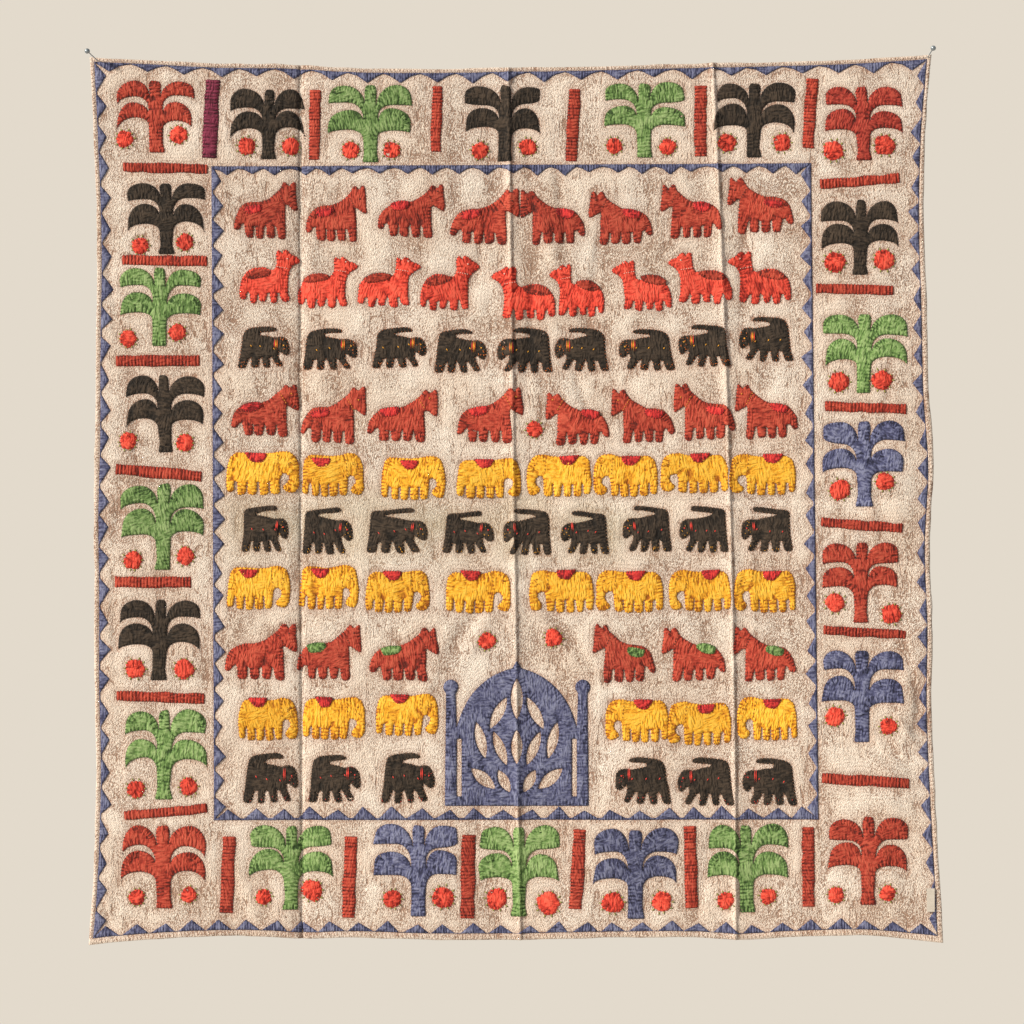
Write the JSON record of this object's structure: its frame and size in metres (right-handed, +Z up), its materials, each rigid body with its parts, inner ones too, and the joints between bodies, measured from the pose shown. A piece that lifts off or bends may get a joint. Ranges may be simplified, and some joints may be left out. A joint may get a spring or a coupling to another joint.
{
  "type": "applique wall hanging with two pins",
  "caption": "Square quilted cotton hanging with a toothed border, palms, bars and an arched panel sewn on, held by a pin at each top corner.",
  "frame": {"origin": "on the wall plane, behind the middle of the cloth's top edge and about 15 mm below the level of its top corners", "axes": "+X to the viewer's right, +Z up, +Y into the wall; the sewn face looks along -Y"},
  "size_m": [1.0698, 0.0363, 1.122],
  "materials": {
    "ground": "cream cotton, two layers quilted with running stitch",
    "rust": "rust red plain cotton",
    "dark_rust": "deep rust plain cotton",
    "black": "faded black plain cotton",
    "green": "leaf green plain cotton",
    "blue": "indigo blue plain cotton",
    "purple": "purple plain cotton",
    "label": "plain woven tape",
    "pin": "blued steel with a ball head",
    "scarlet": "bright red plain cotton",
    "yellow": "golden yellow plain cotton",
    "thread": "coloured cotton embroidery thread"
  },
  "bodies": {
    "root": {"ground_cloth": "ground", "outer_border": "blue", "inner_border": "blue", "arch_panel": "blue", "palm_top_1": "rust", "palm_top_2": "black", "palm_top_3": "green", "palm_top_4": "black", "palm_top_5": "green", "palm_top_6": "black", "palm_top_7": "dark_rust", "palm_left_1": "black", "palm_left_2": "green", "palm_left_3": "black", "palm_left_4": "green", "palm_left_5": "black", "palm_left_6": "green", "palm_bottom_1": "rust", "palm_bottom_2": "green", "palm_bottom_3": "blue", "palm_bottom_4": "green", "palm_bottom_5": "blue", "palm_bottom_6": "green", "palm_bottom_7": "rust", "palm_right_1": "black", "palm_right_2": "green", "palm_right_3": "blue", "palm_right_4": "rust", "palm_right_5": "blue", "bar_top_1": "purple", "bar_top_2": "rust", "bar_top_3": "rust", "bar_top_4": "rust", "bar_top_5": "rust", "bar_top_6": "rust", "bar_left_1": "rust", "bar_left_2": "rust", "bar_left_3": "rust", "bar_left_4": "rust", "bar_left_5": "rust", "bar_left_6": "rust", "bar_left_7": "rust", "bar_right_1": "rust", "bar_right_2": "rust", "bar_right_3": "rust", "bar_right_4": "rust", "bar_right_5": "rust", "bar_right_6": "rust", "bar_bottom_1": "rust", "bar_bottom_2": "rust", "bar_bottom_3": "rust", "bar_bottom_4": "rust", "bar_bottom_5": "rust", "bar_bottom_6": "rust", "blank_label": "label", "left_pin": "pin", "right_pin": "pin"}
  },
  "joints": []
}
